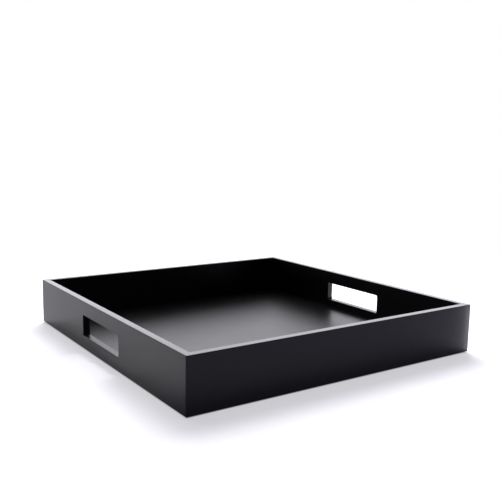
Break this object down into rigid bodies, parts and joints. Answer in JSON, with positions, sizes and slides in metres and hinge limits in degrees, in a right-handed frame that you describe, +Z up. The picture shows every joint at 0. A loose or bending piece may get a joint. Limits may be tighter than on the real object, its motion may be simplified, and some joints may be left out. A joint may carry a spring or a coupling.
{
  "type": "serving tray",
  "caption": "Low square lacquered tray with four straight mitred walls, a flat floor panel and a rectangular hand hole through each of two facing walls.",
  "frame": {"origin": "on the surface that the tray stands on, under the middle of its floor", "axes": "+Z up, X from the wall with the left hand hole to the wall with the right hand hole, Y from the plain front wall to the plain back wall"},
  "size_m": [0.4, 0.4, 0.06],
  "materials": {
    "lacquered_walls": "black satin lacquer over fine fibreboard",
    "lacquered_panel": "black satin lacquer, a little glossier than the walls",
    "hardwood_splines": "bare planed hardwood",
    "felt_feet": "dense black wool felt"
  },
  "bodies": {
    "root": {"front_wall": "lacquered_walls", "right_handle_wall": "lacquered_walls", "back_wall": "lacquered_walls", "left_handle_wall": "lacquered_walls", "base_panel": "lacquered_panel", "corner_spline_front_left": "hardwood_splines", "corner_spline_front_right": "hardwood_splines", "corner_spline_back_right": "hardwood_splines", "corner_spline_back_left": "hardwood_splines", "felt_foot_front_left": "felt_feet", "felt_foot_front_right": "felt_feet", "felt_foot_back_right": "felt_feet", "felt_foot_back_left": "felt_feet"}
  },
  "joints": []
}
